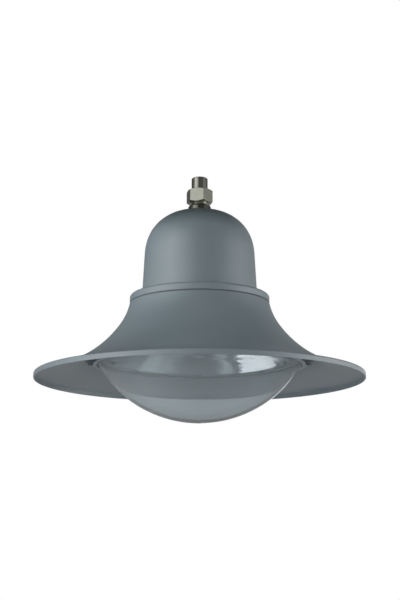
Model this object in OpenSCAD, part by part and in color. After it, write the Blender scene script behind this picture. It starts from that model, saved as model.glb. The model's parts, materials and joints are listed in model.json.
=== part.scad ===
// Pendant park light: a cast dome housing on a suspension pipe, a spun flared skirt,
// a clear bowl below it, and the lamp, reflector and control gear inside.
// Millimetres, +Z up. The origin is the centre of the suspension nut's top face, where the
// sleeve of the pole's arm seats.

/* [Suspension] */
// Diameter of the smooth spigot that the arm's sleeve clamps
spigot_d = 26.4; // [25.6:0.1:27.4]
// Length of the spigot above the nut
spigot_len = 20.8; // [16:0.1:40]
// Chamfer on the spigot's top edge
spigot_chamfer = 1.2; // [0.5:0.1:2]
// Bore of the pipe, the way in for the supply cable
cable_bore = 19.4; // [14:0.1:20]
// Effective diameter of the pipe thread
thread_d = 25.2; // [24.4:0.1:25.4]
// Suspension nut across its flats
nut_af = 38; // [36:0.5:42]
// Height of the suspension nut
nut_h = 22.2; // [10:0.1:24]
// Turn of the suspension nut about the axis, in degrees
nut_turn = 16; // [0:1:59]
// Chamfer of the nuts' corners, in degrees
nut_chamfer = 30; // [15:1:40]
// Length of thread that shows between nut and pipe flange
neck_len = 3.9; // [3:0.1:15]
// Diameter of the pipe flange at its seat on the crown
pipe_flange_d = 39; // [37:0.5:44]
// Height of the pipe flange
pipe_flange_h = 9.3; // [6:0.1:12]
// Diameter of the pipe flange at its top, across the rounding
pipe_flange_top_d = 37; // [35:0.5:40]
// Rounding of the pipe flange's top edge
pipe_flange_round = 3.5; // [1:0.1:4.5]
// Lock nut inside the housing, across its flats
lock_nut_af = 36; // [33:0.5:38]
// Height of the lock nut
lock_nut_h = 8; // [5:0.5:10]
// Diameter of the washer above the lock nut
lock_washer_d = 44; // [40:0.5:46]
// Thickness of the washer above the lock nut
lock_washer_t = 2; // [1:0.1:3]
// Length of pipe that stands out of the lock nut
pipe_end = 6; // [3:0.5:9]

/* [Upper housing] */
// Slope of the crown, in degrees from the vertical
crown_angle = 75; // [70:0.5:78]
// Radius of the dome's shoulder
shoulder_r = 68.2; // [60:0.1:74]
// Radius of the easing between shoulder and side
haunch_r = 93; // [80:0.5:110]
// Angle at which the easing ends, in degrees
haunch_angle = 14.7; // [10:0.1:20]
// Draft of the side, in degrees
draft = 3; // [1:0.1:4]
// Height of the straight side above the collar
side_h = 70; // [64:0.5:80]
// Diameter of the dome at the collar
body_d = 185.1; // [180:0.1:190]
// Wall of the housing casting
housing_wall = 3; // [2.5:0.1:4]
// How far the collar stands out from the dome's side
collar_out = 19.35; // [18:0.05:22]
// Height of the collar
collar_h = 11.7; // [10:0.1:16]
// Rounding of the collar's top edge
collar_round = 4; // [2:0.5:5]
// Wall of the collar
collar_wall = 3.4; // [2.8:0.1:4]
// Diameter of the flat pad under the crown
pad_d = 50; // [48:1:56]
// Depth of the pad below the crown
pad_drop = 8.5; // [8:0.1:12]

/* [Housing joint] */
// Thickness of the gasket between housing and skirt
joint_gasket_t = 1.5; // [1:0.1:3]
// How far the gasket lies inside the collar's edge
joint_gasket_inset = 0.9; // [0.3:0.1:2]
// Diameter of the joint bolts
joint_bolt_d = 6; // [5:0.5:8]
// How far the joint bolts lie outside the dome's side
joint_bolt_out = 6.95; // [6.5:0.05:7.5]
// Wall round each bolt hole in the collar
joint_boss_wall = 3.4; // [2.6:0.1:3.4]
// Number of joint bolts and of hanger straps
strap_count = 4; // [3:1:4]

/* [Skirt] */
// Sheet thickness of the skirt
skirt_t = 1.8; // [1.2:0.1:2]
// How far the top of the flare stands out past the collar
skirt_top_out = 0.3; // [0:0.1:2]
// How far the skirt's opening lies inside the dome's side
skirt_opening_in = 0.55; // [0.05:0.05:2.5]
// Chamfer where the top flange turns down
skirt_chamfer = 1.2; // [0.6:0.1:1.5]
// Angle at which the flare starts, in degrees from the vertical
flare_start = 13.3; // [10:0.1:15]
// Radius of the upper curve of the flare
flare_upper_r = 104; // [98:0.5:112]
// Angle between the upper and the lower curve, in degrees
flare_middle = 34.9; // [32:0.1:38]
// Radius of the lower curve of the flare
flare_lower_r = 185; // [175:0.5:200]
// Width of the straight slope between the lower curve and the rim's rounding
rim_slope_w = 4; // [1:0.5:20]
// Diameter of the rim
rim_d = 521.5; // [500:0.5:560]
// Rounding where the rim turns down
rim_round = 2.5; // [2.2:0.1:4]
// Length of the rim's turned edge below the rounding
rim_drop = 6.2; // [3:0.1:12]

/* [Mounting ring] */
// Height that the skirt's sheet clears above the ears' ends
ear_clearance = 2.9; // [2:0.1:5]
// Thickness of the mounting ring
ring_t = 2; // [1.5:0.1:3]
// How far the mounting ring's opening lies outside the reflector's mouth
ring_opening_gap = 3; // [1:0.1:4]
// How far the mounting ring stands out past the bowl's flange
ring_margin = 2; // [1:0.1:4]
// Length of the ears beyond the mounting ring
ear_len = 11.5; // [11:0.1:13]
// Width of the ears
ear_w = 16; // [14:0.5:20]
// How far the ear screws lie outside the mounting ring's edge
ear_screw_out = 5.5; // [5.3:0.1:6]
// Number of ears and of reflector screws
ear_count = 4; // [4:2:8]
// Width of a hanger strap
strap_w = 20; // [16:0.5:22]
// Thickness of a hanger strap
strap_t = 2.5; // [2:0.1:3]
// How far a strap reaches inwards past its bolt
strap_bolt_in = 6.5; // [6.1:0.1:7]
// How far a strap's upright leg lies outside its bolt
strap_leg_out = 7; // [6.8:0.1:7.5]
// Height of a strap's upright leg
strap_leg_h = 22; // [16:0.5:28]
// How far a strap's foot starts outside the reflector's mouth
strap_foot_gap = 10; // [8:0.5:12]
// Length of a strap's foot
strap_foot_len = 20; // [17:0.5:24]
// How far the strap screws lie outside the start of the foot
strap_screw_out = 11; // [9:0.5:12]
// Diameter of the strap screws
strap_screw_d = 5; // [4:0.5:5]
// Diameter of the ears' screws
ear_screw_d = 4; // [3:0.5:4]

/* [Bowl] */
// Outside radius of the bowl
bowl_r = 189; // [186:0.1:200]
// Wall of the bowl
bowl_wall = 3; // [2:0.1:4]
// How far the bowl's edge at its seat lies outside the strap screws
bowl_seat_gap = 13.7; // [13:0.1:16]
// Width of the bowl's flange outside its sphere
bowl_flange_w = 4.8; // [4:0.1:6]
// Thickness of the bowl's flange
bowl_flange_t = 2.5; // [2:0.1:3.5]
// Thickness of the bowl's gasket
bowl_gasket_t = 2; // [1.5:0.1:3]
// Width of the bowl's gasket
bowl_gasket_w = 8.5; // [7:0.1:9]
// Diameter of the moulding mark at the bowl's lowest point
gate_d = 5; // [3:0.5:8]
// Height of the moulding mark
gate_h = 0.8; // [0.4:0.1:1.5]
// Thickness of the clamp ring
clamp_t = 2; // [1.5:0.1:2.5]
// Clearance between the clamp ring and the bowl
clamp_gap = 1; // [0.6:0.1:1.2]

/* [Reflector] */
// Sheet thickness of the reflector
reflector_t = 1.2; // [0.8:0.1:1.5]
// Diameter of the reflector's mouth
reflector_mouth_d = 254; // [250:0.5:256]
// Focal length of the reflector
reflector_focus = 37.5; // [34:0.5:42]
// Hole in the reflector's top, for the lamp
reflector_hole_d = 42; // [36:1:50]
// Width of the reflector's flange
reflector_flange_w = 15; // [13:0.5:17]
// How far the reflector screws lie outside the mouth
reflector_screw_out = 9; // [8:0.1:10]
// Diameter of the gear and reflector screws
small_screw_d = 4; // [3:0.5:4]

/* [Lamp] */
// Light centre below the lampholder's face
light_centre = 56; // [50:0.5:60]
// Diameter of the lampholder
holder_d = 38; // [34:0.5:44]
// Height of the lampholder
holder_h = 28; // [24:0.5:34]
// Diameter of the lamp's ceramic base
lamp_base_d = 25; // [22:0.5:28]
// Length of the lamp's base below the lampholder
lamp_base_h = 20; // [16:0.5:24]
// Diameter of the lamp's glass tube
lamp_tube_d = 20; // [18:0.5:21]
// Wall of the glass tube
lamp_tube_wall = 1.2; // [0.8:0.1:1.5]
// Length of the lamp below the lampholder
lamp_len = 88; // [80:0.5:92]
// How deep the glass tube sits in the base
lamp_socket = 6; // [4:0.5:8]
// Distance between the two pins
pin_pitch = 12; // [10:0.5:14]
// Diameter of a pin
pin_d = 2.4; // [2:0.1:3]
// Length of a pin
pin_len = 11; // [8:0.5:14]

/* [Control gear] */
// Height of the gear tray's seat above the collar's top
tray_rise = 52; // [46:0.5:56]
// Gap between the gear tray and the dome's wall
tray_gap = 2.3; // [1.5:0.1:4]
// Thickness of the gear tray
tray_t = 2; // [1.5:0.1:3]
// How far the tray screws lie inside the tray's edge
tray_screw_in = 5; // [4.5:0.1:6]
// Diameter of the housing's tray bosses
tray_boss_d = 15; // [14:0.5:17]
// Length of the ballast's foot plate
ballast_len = 112; // [108:1:116]
// Width of the ballast
ballast_w = 50; // [44:1:52]
// Height of the ballast
ballast_h = 44; // [38:1:46]
// Length of the ballast's iron core
core_len = 74; // [66:1:78]
// Length of the igniter
igniter_len = 58; // [50:1:60]
// Width of the igniter
igniter_w = 24; // [20:0.5:25]
// Height of the igniter
igniter_h = 34; // [28:0.5:36]
// Diameter of the capacitor
capacitor_d = 32; // [28:0.5:34]
// Length of the capacitor
capacitor_len = 72; // [64:1:76]
// Width of the capacitor's saddle clip
saddle_w = 14; // [12:0.5:18]
// Thickness of the saddle clip
saddle_t = 1.5; // [1:0.1:2]
// Length of the terminal block
terminal_len = 31; // [30:0.5:33]
// Diameter of a lead over its insulation
lead_d = 3.2; // [2.6:0.1:3.6]

/* [Hidden] */
$fn = 96;

// Radial clearance of a pipe or screw in its hole, and the pass-through clearance of a screw
thread_gap = 0.1;
hole_gap = 0.4;
// Overshoot of a cutting shape past the face that it cuts
cut = 1;
// Steps of the arcs, in degrees
arc_step = 3;

// Sizes round the joint and the tray, from the dome's side outwards and inwards
inner_r = body_d / 2 - housing_wall / cos(draft);
collar_d = body_d + 2 * collar_out;
joint_bolt_circle = body_d + 2 * joint_bolt_out;
skirt_top_d = collar_d + 2 * skirt_top_out;
skirt_opening_d = body_d - 2 * skirt_opening_in;
strap_start = joint_bolt_circle / 2 - strap_bolt_in;
strap_leg = joint_bolt_circle / 2 + strap_leg_out;
tray_d = 2 * tenth(inner_r - tray_rise * tan(draft) - tray_gap);
tray_screw_circle = tray_d - 2 * tray_screw_in;

// Heights, downwards from the nut's top face
pipe_flange_z = -nut_h - neck_len;
crown_z = pipe_flange_z - pipe_flange_h;

// Dome outline, with its zero height at the collar's top. The angles are those of the surface's normal.
side_top = [body_d / 2 - side_h * tan(draft), side_h];
haunch_c = side_top - haunch_r * normal(draft);
shoulder_c = haunch_c + (haunch_r - shoulder_r) * normal(haunch_angle);
shoulder_end = shoulder_c + shoulder_r * normal(crown_angle);
dome_h = shoulder_end.y + (shoulder_end.x - pipe_flange_d / 2) / tan(crown_angle);

// Sizes of the ring, the straps and the bowl, from the reflector's mouth outwards
ring_opening_d = reflector_mouth_d + 2 * ring_opening_gap;
reflector_flange_d = reflector_mouth_d + 2 * reflector_flange_w;
reflector_screw_circle = reflector_mouth_d + 2 * reflector_screw_out;
strap_foot = reflector_mouth_d / 2 + strap_foot_gap;
strap_screw_circle = 2 * (strap_foot + strap_screw_out);
bowl_seat_r = strap_screw_circle / 2 + bowl_seat_gap;
bowl_flange_d = 2 * (bowl_seat_r + bowl_flange_w);
bowl_gasket_in = bowl_flange_d - 2 * bowl_gasket_w;
ring_d = bowl_flange_d + 2 * ring_margin;
ear_reach = ring_d / 2 + ear_len;
ear_screw_circle = ring_d + 2 * ear_screw_out;

// Centres of the skirt's two curves, with their zero height at its top, and the height under
// the skirt's top flange that its inner face leaves free at a radius on the lower curve
flare_upper_c = [skirt_top_d / 2, -skirt_chamfer] + flare_upper_r * normal(flare_start);
flare_lower_c = flare_upper_c + (flare_lower_r - flare_upper_r) * normal(flare_middle);
flare_end = acos((flare_lower_c.x - rim_d / 2 + rim_round + rim_slope_w) / flare_lower_r);
function skirt_depth(r) =
    sqrt(pow(flare_lower_r + skirt_t, 2) - pow(flare_lower_c.x - r, 2)) - flare_lower_c.y - skirt_t;
ring_depth = tenth(skirt_depth(ear_reach) + ear_clearance);

collar_z = crown_z - dome_h;
joint_z = collar_z - collar_h;
skirt_z = joint_z - joint_gasket_t;
hang_z = skirt_z - skirt_t;
ring_z = hang_z - ring_depth;
ring_under_z = ring_z - ring_t;
bowl_flange_z = ring_under_z - bowl_gasket_t;
bowl_seat_z = bowl_flange_z - bowl_flange_t;
bowl_centre_rise = tenth(sqrt(bowl_r * bowl_r - bowl_seat_r * bowl_seat_r));
bowl_centre_z = bowl_seat_z + bowl_centre_rise;
bowl_low_z = bowl_centre_z - bowl_r;
pad_z = crown_z - pad_drop;
lock_nut_z = pad_z - lock_washer_t;
pipe_low_z = lock_nut_z - lock_nut_h - pipe_end;
tray_seat_z = collar_z + tray_rise;
tray_under_z = tray_seat_z - tray_t;
holder_face_z = tray_under_z - holder_h;
lamp_low_z = holder_face_z - lamp_len;
light_z = holder_face_z - light_centre;

thread_bore_d = thread_d + 2 * thread_gap;
strap_turns = [for (i = [0 : strap_count - 1]) 45 + i * 360 / strap_count];
ear_turns = [for (i = [0 : ear_count - 1]) i * 360 / ear_count];
tray_turns = [30, 150, 270];

// Screw sizes that follow their diameters
joint_hole_depth = collar_h - 2.4;
joint_washer_t = 1.6;
nut_height_share = 0.8;
thin_nut_share = 0.6;
pan_height_share = 0.62;
pan_head_d = function (d) 1.9 * d;
nut_flats = function (d) 1.6 * d;

// Places of the gear on the tray. A lane is left free for the lampholder's screws.
gear_lane = 11;
gear_gap = 2;
foot_t = 1.6;
ballast_y = -gear_lane / 2 - ballast_w / 2;
igniter_y = gear_lane / 2 + igniter_w / 2;
capacitor_y = igniter_y + igniter_w / 2 + gear_gap + saddle_t + capacitor_d / 2;
ballast_hole_x = ballast_len / 2 - 6;
igniter_foot = 8;
igniter_hole_x = igniter_len / 2 + igniter_foot / 2;
saddle_foot = 12;
saddle_gap = 0.1;
saddle_hole_y = capacitor_y + capacitor_d / 2 + saddle_t + saddle_foot / 2;
terminal_w = 20;
terminal_h = 15;
terminal_pitch = 8.5;
terminal_start = igniter_len / 2 + igniter_foot + 1.5;
terminal_ear = terminal_len - 3 * terminal_pitch;
terminal_hole_x = terminal_start + terminal_len - terminal_ear / 2;
grip_gap = 14;
grip_x = -igniter_len / 2 - igniter_foot - grip_gap;
grip_w = 10;
grip_span = 24;
grip_h = 12;
grip_hole_y = 8;
earth_place = [-54, 41];
holder_hole_x = holder_d / 2 - 6;
// The leads' way through the tray
grommet_place = [48, 36];
grommet_bore = 7.8;
grommet_wall = 1.8;
lead_pitch = 3.7;
lead_level = 7;
lead_depth = 5;
lead_spread = 4;
holder_lead_h = 18;
holder_lead_z = holder_face_z + holder_lead_h;

// A worked-out size, rounded to a tenth of a millimetre as on a drawing
function tenth(x) = round(10 * x) / 10;

// Outward normal of a revolved outline at an angle above the horizontal, as [radius, height]
function normal(a) = [cos(a), sin(a)];

// Points of an arc, with a step of about arc_step degrees
function arc(c, r, a0, a1) =
    let (n = max(2, ceil(abs(a1 - a0) / arc_step)))
    [for (i = [0 : n]) c + r * normal(a0 + (a1 - a0) * i / n)];

// Offset of a polyline's point to the left of its direction, with mitred corners
function left_of(v) = [-v.y, v.x] / norm(v);
function mitre(p, i, t) =
    let (
        n0 = i > 0 ? left_of(p[i] - p[i - 1]) : left_of(p[1] - p[0]),
        n1 = i < len(p) - 1 ? left_of(p[i + 1] - p[i]) : n0
    )
    p[i] + t * (n0 + n1) / (1 + n0 * n1);
// Outline of a bent strip of thickness t that lies to the left of its path
function strip(p, t) =
    concat(p, [for (i = [len(p) - 1 : -1 : 0]) mitre(p, i, t)]);

// Dome outline at a depth under the outer face, from the collar's top to a radius near the axis
function dome_outline(depth, end_r) =
    let (
        foot_r = body_d / 2 - depth / cos(draft),
        end_p = shoulder_c + (shoulder_r - depth) * normal(crown_angle)
    )
    concat(
        [[foot_r, 0]],
        arc(haunch_c, haunch_r - depth, draft, haunch_angle),
        arc(shoulder_c, shoulder_r - depth, haunch_angle, crown_angle),
        [[end_r, end_p.y + (end_p.x - end_r) / tan(crown_angle)]]
    );

// A thing repeated at turns about the axis, at a radius
module at_turns(turns, r) {
    for (a = turns) rotate(a) translate([r, 0, 0]) children();
}

// Hexagonal nut with chamfered corners, from its underside upwards
module hex_nut(flats, h, bore) {
    corner_r = flats / sqrt(3);
    chamfer_r = flats / 2 * 0.97;
    chamfer_h = (corner_r - chamfer_r) * tan(nut_chamfer);
    difference() {
        intersection() {
            cylinder(r = corner_r, h = h, $fn = 6);
            rotate_extrude() polygon([
                [0, 0], [chamfer_r, 0], [corner_r, chamfer_h],
                [corner_r, h - chamfer_h], [chamfer_r, h], [0, h]
            ]);
        }
        translate([0, 0, -cut]) cylinder(d = bore, h = h + 2 * cut);
    }
}

// Pan head screw with a slot, pointing up from z = 0, where its head seats
module pan_screw(d, l) {
    head_d = pan_head_d(d);
    head_h = pan_height_share * d;
    slot_w = d / 5;
    difference() {
        rotate_extrude() polygon([
            [0, l], [d / 2 - d / 8, l], [d / 2, l - d / 8], [d / 2, 0], [head_d / 2, 0],
            [head_d / 2, -head_h * 0.55], [head_d / 2 - head_h * 0.45, -head_h], [0, -head_h]
        ]);
        translate([-head_d / 2 - cut, -slot_w / 2, -head_h - cut])
            cube([head_d + 2 * cut, slot_w, head_h * 0.45 + cut]);
    }
}

// Hexagon head bolt pointing up from z = 0, where its head seats
module hex_bolt(d, l) {
    head_h = 0.65 * d;
    translate([0, 0, -head_h]) cylinder(r = nut_flats(d) / sqrt(3), h = head_h, $fn = 6);
    rotate_extrude() polygon([
        [0, -head_h / 2], [d / 2, -head_h / 2], [d / 2, l - d / 8], [d / 2 - d / 8, l], [0, l]
    ]);
}

// Flat ring between two diameters, from z upwards
module flat_ring(d_in, d_out, z, t) {
    translate([0, 0, z]) difference() {
        cylinder(d = d_out, h = t);
        translate([0, 0, -cut]) cylinder(d = d_in, h = t + 2 * cut);
    }
}

// Round insulated wire along a path of points, as one swept tube
module wire(path, d) {
    sides = 8;
    wire_side = [1, -0.6, 0.8];
    last = len(path) - 1;
    rings = [for (i = [0 : last])
        let (
            t = path[min(i + 1, last)] - path[max(i - 1, 0)],
            n = cross(t, wire_side) / norm(cross(t, wire_side)),
            b = cross(t, n) / norm(t)
        )
        [for (k = [0 : sides - 1]) path[i] + d / 2 * (cos(k * 360 / sides) * n + sin(k * 360 / sides) * b)]
    ];
    walls = [for (i = [0 : last - 1]) for (k = [0 : sides - 1])
        let (a = i * sides + k, b = i * sides + (k + 1) % sides)
        each [[a, a + sides, b + sides], [a, b + sides, b]]
    ];
    first_cap = [[for (k = [0 : sides - 1]) k]];
    last_cap = [[for (k = [sides - 1 : -1 : 0]) last * sides + k]];
    polyhedron([for (r = rings) for (p = r) p], concat(walls, first_cap, last_cap), convexity = 4);
}

module suspension_pipe() {
    color("silver") difference() {
        rotate_extrude() polygon([
            [0, pipe_low_z], [thread_d / 2 - 1, pipe_low_z], [thread_d / 2, pipe_low_z + 1],
            [thread_d / 2, 0], [spigot_d / 2, 0], [spigot_d / 2, spigot_len - spigot_chamfer],
            [spigot_d / 2 - spigot_chamfer, spigot_len], [0, spigot_len]
        ]);
        translate([0, 0, pipe_low_z - cut])
            cylinder(d = cable_bore, h = spigot_len - pipe_low_z + 2 * cut);
    }
}

module suspension_nut() {
    color("silver") translate([0, 0, -nut_h]) rotate(nut_turn - 90)
        hex_nut(nut_af, nut_h, thread_bore_d);
}

// Turned flange on the pipe's thread. It seats on the crown, against the lock nut below.
module pipe_flange() {
    rounding_c = [pipe_flange_top_d / 2 - pipe_flange_round, pipe_flange_h - pipe_flange_round];
    color("silver") translate([0, 0, crown_z]) difference() {
        rotate_extrude() polygon(concat(
            [[0, 0], [pipe_flange_d / 2, 0]],
            arc(rounding_c, pipe_flange_round, 0, 90),
            [[0, pipe_flange_h]]
        ));
        translate([0, 0, -cut]) cylinder(d = thread_bore_d, h = pipe_flange_h + 2 * cut);
    }
}

module lock_washer() {
    color("silver") flat_ring(thread_bore_d, lock_washer_d, lock_nut_z, lock_washer_t);
}

module lock_nut() {
    color("silver") translate([0, 0, lock_nut_z - lock_nut_h])
        hex_nut(lock_nut_af, lock_nut_h, thread_bore_d);
}

// The dome's outer form with its collar, as a solid
module housing_form() {
    rotate_extrude() polygon(concat(
        [[0, -collar_h], [collar_d / 2, -collar_h]],
        arc([collar_d / 2 - collar_round, -collar_round], collar_round, 0, 90),
        dome_outline(0, pipe_flange_d / 2),
        [[0, dome_h]]
    ));
}

module housing_hollow() {
    rotate_extrude() polygon(concat(
        [[0, -collar_h - cut], [inner_r, -collar_h - cut]],
        dome_outline(housing_wall, pad_d / 2),
        [[pad_d / 2, dome_h - pad_drop], [0, dome_h - pad_drop]]
    ));
    // Recess under the collar, between its outer wall and the dome's wall
    rotate_extrude() translate([inner_r + collar_wall, -collar_h - cut])
        square([collar_d / 2 - inner_r - 2 * collar_wall, collar_h - collar_wall + cut]);
}

module upper_housing() {
    color("slategray") translate([0, 0, collar_z]) difference() {
        union() {
            difference() {
                housing_form();
                housing_hollow();
            }
            // Bosses for the joint bolts
            at_turns(strap_turns, joint_bolt_circle / 2) translate([0, 0, -collar_h])
                cylinder(d = joint_bolt_d + 2 * joint_boss_wall, h = collar_h - collar_wall / 2);
            // Bosses for the gear tray, grown into the dome's wall
            intersection() {
                housing_form();
                at_turns(tray_turns, tray_screw_circle / 2) translate([0, 0, tray_rise])
                    cylinder(d = tray_boss_d, h = dome_h - tray_rise);
            }
        }
        translate([0, 0, dome_h - pad_drop - cut])
            cylinder(d = thread_bore_d, h = pad_drop + 2 * cut);
        at_turns(strap_turns, joint_bolt_circle / 2) translate([0, 0, -collar_h - cut])
            cylinder(d = joint_bolt_d + 2 * thread_gap, h = joint_hole_depth + cut);
        at_turns(tray_turns, tray_screw_circle / 2) translate([0, 0, tray_rise - cut])
            cylinder(d = small_screw_d + 2 * thread_gap, h = 3 * small_screw_d + cut);
    }
}

module joint_gasket() {
    color("black") difference() {
        flat_ring(2 * inner_r, collar_d - 2 * joint_gasket_inset, skirt_z, joint_gasket_t);
        at_turns(strap_turns, joint_bolt_circle / 2) translate([0, 0, skirt_z - cut])
            cylinder(d = joint_bolt_d + 2 * hole_gap, h = joint_gasket_t + 2 * cut);
    }
}

// The skirt's section: a top flange, the flare in two curves and a cone, and the turned-down rim
module skirt_section() {
    lower_end = flare_lower_c - flare_lower_r * normal(flare_end);
    cone_end_r = rim_d / 2 - rim_round * (1 - cos(flare_end));
    cone_end = [cone_end_r, lower_end.y - (cone_end_r - lower_end.x) / tan(flare_end)];
    rim_c = cone_end - rim_round * normal(flare_end);
    rim_low = rim_c.y - rim_drop;
    edge = skirt_t / 4;
    outer = concat(
        [[skirt_opening_d / 2, 0], [skirt_top_d / 2 - skirt_chamfer, 0]],
        arc(flare_upper_c, -flare_upper_r, flare_start, flare_middle),
        arc(flare_lower_c, -flare_lower_r, flare_middle, flare_end),
        arc(rim_c, rim_round, flare_end, 0),
        [[rim_d / 2, rim_low + edge], [rim_d / 2 - edge, rim_low]]
    );
    inner = concat(
        [[rim_d / 2 - skirt_t + edge, rim_low], [rim_d / 2 - skirt_t, rim_low + edge]],
        arc(rim_c, rim_round - skirt_t, 0, flare_end),
        arc(flare_lower_c, -flare_lower_r - skirt_t, flare_end, flare_middle),
        arc(flare_upper_c, -flare_upper_r - skirt_t, flare_middle, flare_start),
        [[skirt_top_d / 2 - skirt_t, -skirt_t], [skirt_opening_d / 2, -skirt_t]]
    );
    polygon(concat(outer, inner));
}

module skirt() {
    color("slategray") translate([0, 0, skirt_z]) difference() {
        rotate_extrude($fn = 144) skirt_section();
        at_turns(strap_turns, joint_bolt_circle / 2) translate([0, 0, -skirt_t - cut])
            cylinder(d = joint_bolt_d + 2 * hole_gap, h = skirt_t + 2 * cut);
    }
}

// Bent sheet straps from the joint down to the mounting ring
module hanger_straps() {
    path = [
        [strap_start, -strap_t], [strap_leg, -strap_t], [strap_leg, -strap_leg_h],
        [strap_foot, -ring_depth], [strap_foot + strap_foot_len, -ring_depth]
    ];
    color("silver") translate([0, 0, hang_z]) difference() {
        at_turns(strap_turns, 0) rotate([90, 0, 0])
            linear_extrude(strap_w, center = true) polygon(strip(path, strap_t));
        at_turns(strap_turns, joint_bolt_circle / 2) translate([0, 0, -strap_t - cut])
            cylinder(d = joint_bolt_d + 2 * hole_gap, h = strap_t + 2 * cut);
        at_turns(strap_turns, strap_screw_circle / 2) translate([0, 0, -ring_depth - cut])
            cylinder(d = strap_screw_d + 2 * hole_gap, h = strap_t + 2 * cut);
    }
}

module joint_washers() {
    color("silver") at_turns(strap_turns, joint_bolt_circle / 2)
        flat_ring(joint_bolt_d + 2 * hole_gap, 2 * joint_bolt_d, hang_z - strap_t - joint_washer_t, joint_washer_t);
}

module joint_bolts() {
    seat_z = hang_z - strap_t - joint_washer_t;
    reach = joint_z + joint_hole_depth - 1 - seat_z;
    color("silver") at_turns(strap_turns, joint_bolt_circle / 2) translate([0, 0, seat_z])
        hex_bolt(joint_bolt_d, reach);
}

module mounting_ring() {
    ear_inner = ring_d / 2 - 4;
    color("gainsboro") translate([0, 0, ring_under_z]) difference() {
        union() {
            cylinder(d = ring_d, h = ring_t, $fn = 144);
            for (a = ear_turns) rotate(a) translate([ear_inner, -ear_w / 2, 0])
                cube([ear_reach - ear_inner, ear_w, ring_t]);
        }
        translate([0, 0, -cut]) cylinder(d = ring_opening_d, h = ring_t + 2 * cut, $fn = 144);
        at_turns(ear_turns, ear_screw_circle / 2) translate([0, 0, -cut])
            cylinder(d = ear_screw_d + 2 * hole_gap, h = ring_t + 2 * cut);
        at_turns(strap_turns, strap_screw_circle / 2) translate([0, 0, -cut])
            cylinder(d = strap_screw_d + 2 * hole_gap, h = ring_t + 2 * cut);
        at_turns(ear_turns, reflector_screw_circle / 2) translate([0, 0, -cut])
            cylinder(d = small_screw_d + 2 * thread_gap, h = ring_t + 2 * cut);
    }
}

module strap_screws() {
    color("dimgray") at_turns(strap_turns, strap_screw_circle / 2) translate([0, 0, ring_under_z])
        pan_screw(strap_screw_d, ring_t + strap_t + nut_height_share * strap_screw_d + 1);
}

module strap_nuts() {
    color("silver") at_turns(strap_turns, strap_screw_circle / 2) translate([0, 0, ring_z + strap_t])
        hex_nut(nut_flats(strap_screw_d), nut_height_share * strap_screw_d, strap_screw_d + 2 * thread_gap);
}

module clamp_screws() {
    color("dimgray") at_turns(ear_turns, ear_screw_circle / 2) translate([0, 0, ring_under_z - clamp_t])
        pan_screw(ear_screw_d, clamp_t + ring_t + thin_nut_share * ear_screw_d + 1);
}

module clamp_nuts() {
    color("silver") at_turns(ear_turns, ear_screw_circle / 2) translate([0, 0, ring_z])
        hex_nut(nut_flats(ear_screw_d), thin_nut_share * ear_screw_d, ear_screw_d + 2 * thread_gap);
}

// Spun parabola with a flat flange at its mouth and a hole for the lamp at its top
module reflector() {
    mouth_r = reflector_mouth_d / 2;
    hole_r = reflector_hole_d / 2;
    parabola = [for (i = [0 : 18]) let (r = mouth_r + (hole_r - mouth_r) * i / 18)
        [r, (mouth_r * mouth_r - r * r) / (4 * reflector_focus)]];
    mouth_z = -reflector_t;
    color("white") translate([0, 0, ring_under_z]) difference() {
        rotate_extrude($fn = 144) polygon(concat(
            [[reflector_flange_d / 2, 0], [reflector_flange_d / 2, mouth_z]],
            [for (p = parabola) p + [0, mouth_z]],
            [for (i = [len(parabola) - 1 : -1 : 0]) parabola[i] + reflector_lift(parabola[i].x, mouth_r)]
        ));
        at_turns(ear_turns, reflector_screw_circle / 2) translate([0, 0, mouth_z - cut])
            cylinder(d = small_screw_d + 2 * thread_gap, h = reflector_t + 2 * cut);
    }
}

// From the reflector's lower face to its upper face, straight across the sheet
function reflector_lift(r, mouth_r) =
    let (slope = atan2(r, 2 * reflector_focus))
    r >= mouth_r ? [reflector_t / cos(90 - slope) , 0] : reflector_t * [sin(slope), cos(slope)] - [0, reflector_t];

module reflector_screws() {
    color("dimgray") at_turns(ear_turns, reflector_screw_circle / 2)
        translate([0, 0, ring_under_z - reflector_t]) pan_screw(small_screw_d, reflector_t + ring_t + 2);
}

module bowl_gasket() {
    color("black") flat_ring(bowl_gasket_in, bowl_flange_d, bowl_flange_z, bowl_gasket_t);
}

module bowl() {
    color([0.75, 0.82, 0.85, 0.35]) translate([0, 0, bowl_centre_z]) difference() {
        union() {
            intersection() {
                sphere(r = bowl_r, $fn = 144);
                translate([0, 0, -bowl_r - cut])
                    cylinder(r = bowl_r + cut, h = bowl_r + cut - bowl_centre_rise + bowl_flange_t);
            }
            translate([0, 0, -bowl_centre_rise]) cylinder(d = bowl_flange_d, h = bowl_flange_t, $fn = 144);
            translate([0, 0, -bowl_r - gate_h]) cylinder(d = gate_d, h = gate_h + bowl_wall / 2);
        }
        sphere(r = bowl_r - bowl_wall, $fn = 144);
    }
}

// Flat ring under the bowl's flange, with ears that step up to the mounting ring's ears
module clamp_ring() {
    ear_inner = bowl_flange_d / 2 + clamp_gap;
    drop = bowl_gasket_t + bowl_flange_t + clamp_t;
    color("gainsboro") translate([0, 0, ring_under_z]) difference() {
        union() {
            flat_ring(2 * (bowl_seat_r + clamp_gap), ring_d, -drop, clamp_t, $fn = 144);
            for (a = ear_turns) rotate(a) {
                translate([ear_inner, -ear_w / 2, -drop]) cube([clamp_t, ear_w, drop]);
                translate([ear_inner, -ear_w / 2, -clamp_t]) cube([ear_reach - ear_inner, ear_w, clamp_t]);
            }
        }
        at_turns(ear_turns, ear_screw_circle / 2) translate([0, 0, -clamp_t - cut])
            cylinder(d = ear_screw_d + 2 * hole_gap, h = clamp_t + 2 * cut);
    }
}

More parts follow.
